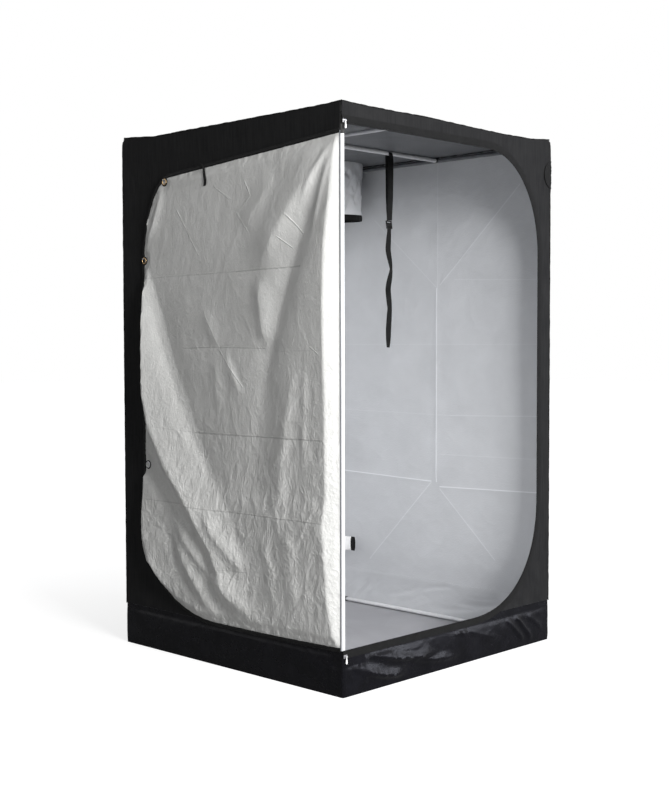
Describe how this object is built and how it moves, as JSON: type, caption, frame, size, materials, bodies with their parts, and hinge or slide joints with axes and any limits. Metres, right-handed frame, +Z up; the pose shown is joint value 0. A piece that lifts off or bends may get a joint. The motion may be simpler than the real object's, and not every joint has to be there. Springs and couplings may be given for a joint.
{
  "type": "indoor grow tent",
  "caption": "Tall square indoor grow tent of black fabric on a steel tube frame, with its D-shaped front door swung round and hooked back along the left side.",
  "frame": {"origin": "on the floor, under the middle of the tent's square footprint", "axes": "+Z up; +X from left to right as seen from the front; +Y from the front (doorway) to the back"},
  "size_m": [1.2241, 1.2119, 2],
  "materials": {
    "black_plastic": "satin black",
    "white_coated_steel": "white powder coat",
    "black_cover_fabric": "matte black woven polyester, pale reflective lining inside",
    "glossy_band_fabric": "coated black fabric with a sheen",
    "grey_floor_lining": "matte grey lining",
    "silver_lining": "silver reflective film on fabric",
    "brass": "polished",
    "steel": "bright plated",
    "white_pull": "white",
    "black_webbing": "matte woven tape"
  },
  "bodies": {
    "tent": {"base_band": "glossy_band_fabric", "corner_bottom_back_left": "black_plastic", "corner_bottom_back_right": "black_plastic", "corner_bottom_front_left": "black_plastic", "corner_bottom_front_right": "black_plastic", "corner_top_back_left": "black_plastic", "corner_top_back_right": "black_plastic", "corner_top_front_left": "black_plastic", "corner_top_front_right": "black_plastic", "doorway_zip_tape": "black_webbing", "duct_sleeve": "silver_lining", "duct_sleeve_hem": "black_webbing", "floor_panel": "grey_floor_lining", "port_sleeve": "silver_lining", "port_sleeve_hem": "black_webbing", "post_lower_back_left": "white_coated_steel", "post_lower_back_right": "white_coated_steel", "post_lower_front_left": "white_coated_steel", "post_lower_front_right": "white_coated_steel", "post_upper_back_left": "white_coated_steel", "post_upper_back_right": "white_coated_steel", "post_upper_front_left": "white_coated_steel", "post_upper_front_right": "white_coated_steel", "rail_bottom_back": "white_coated_steel", "rail_bottom_front": "white_coated_steel", "rail_bottom_left": "white_coated_steel", "rail_bottom_right": "white_coated_steel", "rail_snap_button": "steel", "rail_top_back": "white_coated_steel", "rail_top_front": "white_coated_steel", "rail_top_left": "white_coated_steel", "rail_top_right": "white_coated_steel", "roof_panel": "black_cover_fabric", "wall_back": "black_cover_fabric", "wall_front": "black_cover_fabric", "wall_left": "black_cover_fabric", "wall_peg_lower": "steel", "wall_peg_middle": "steel", "wall_peg_upper": "steel", "wall_right": "black_cover_fabric"},
    "door": {"door_panel": "silver_lining", "door_hem": "black_webbing", "door_ring_upper": "brass", "door_ring_middle": "brass", "door_ring_lower": "steel", "tie_strap": "black_webbing"},
    "crossbar_across_unit": {"crossbar_across": "white_coated_steel", "crossbar_hook_left": "black_plastic", "crossbar_hook_right": "black_plastic"},
    "crossbar_lengthwise_unit": {"crossbar_lengthwise": "white_coated_steel", "crossbar_hook_front": "black_plastic", "crossbar_hook_back": "black_plastic"},
    "hanger": {"hanger_strap": "black_webbing", "hanger_buckle": "black_plastic"},
    "slider_top": {"zip_slider_top": "steel"},
    "pull_top": {"zip_pull_top": "white_pull"},
    "slider_bottom": {"zip_slider_bottom": "steel"},
    "pull_bottom": {"zip_pull_bottom": "white_pull"}
  },
  "joints": [
    {"name": "door_swing", "type": "hinge", "parent": "tent", "child": "door", "pos_m": [-0.604, -0.604, 1], "axis": [0, 0, 1], "range_deg": [0, 270]},
    {"name": "crossbar_across_slide", "type": "slide", "parent": "tent", "child": "crossbar_across_unit", "axis": [0, 1, 0], "range_m": [-0.4, 0.25]},
    {"name": "crossbar_lengthwise_slide", "type": "slide", "parent": "tent", "child": "crossbar_lengthwise_unit", "axis": [1, 0, 0], "range_m": [-0.2, 0.2]},
    {"name": "hanger_slide", "type": "slide", "parent": "crossbar_across_unit", "child": "hanger", "axis": [1, 0, 0], "range_m": [-0.28, 0.15]},
    {"name": "slider_top_slide", "type": "slide", "parent": "tent", "child": "slider_top", "axis": [1, 0, 0], "range_m": [0, 0.75]},
    {"name": "pull_top_swing", "type": "hinge", "parent": "slider_top", "child": "pull_top", "pos_m": [-0.592, -0.6096, 1.932], "axis": [1, 0, 0], "range_deg": [-150, 0]},
    {"name": "slider_bottom_slide", "type": "slide", "parent": "tent", "child": "slider_bottom", "axis": [1, 0, 0], "range_m": [0, 0.68]},
    {"name": "pull_bottom_swing", "type": "hinge", "parent": "slider_bottom", "child": "pull_bottom", "pos_m": [-0.592, -0.6096, 0.1415], "axis": [1, 0, 0], "range_deg": [-120, 0]}
  ]
}
